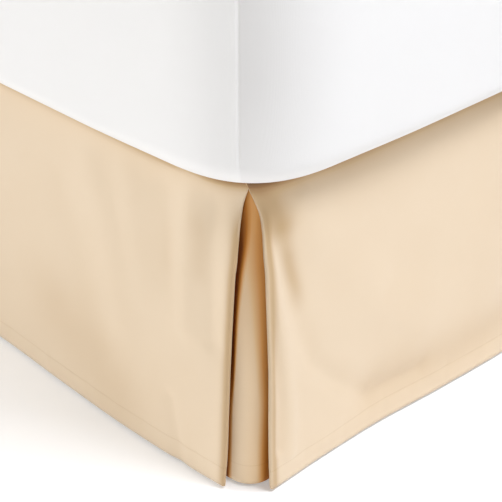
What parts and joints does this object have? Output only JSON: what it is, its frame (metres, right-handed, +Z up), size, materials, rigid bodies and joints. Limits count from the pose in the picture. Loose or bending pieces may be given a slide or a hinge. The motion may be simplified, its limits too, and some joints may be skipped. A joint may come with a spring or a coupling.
{
  "type": "bed skirt on a bed with a mattress and base",
  "caption": "Tailored three-sided bed skirt with inverted corner pleats, hanging between a mattress and a bed base on legs.",
  "frame": {"origin": "on the floor, under the middle of the bed", "axes": "+X to the bed's right side seen from its foot, +Y toward the head, +Z up"},
  "size_m": [1.524, 2.032, 0.6813],
  "materials": {
    "skirt_cloth": "smooth beige microfibre with a soft satin sheen",
    "deck_cloth": "plain matt microfibre",
    "fitted_sheet": "plain white cotton, matt",
    "base_cover": "plain woven cover, matt",
    "leg_wood": "stained hardwood, satin"
  },
  "bodies": {
    "root": {"deck": "deck_cloth", "drop_foot": "skirt_cloth", "drop_left": "skirt_cloth", "drop_right": "skirt_cloth", "pleat_left": "skirt_cloth", "pleat_right": "skirt_cloth", "mattress": "fitted_sheet", "base": "base_cover", "leg_foot_left": "leg_wood", "leg_foot_right": "leg_wood", "leg_mid_left": "leg_wood", "leg_mid_right": "leg_wood", "leg_head_left": "leg_wood", "leg_head_right": "leg_wood"}
  },
  "joints": []
}
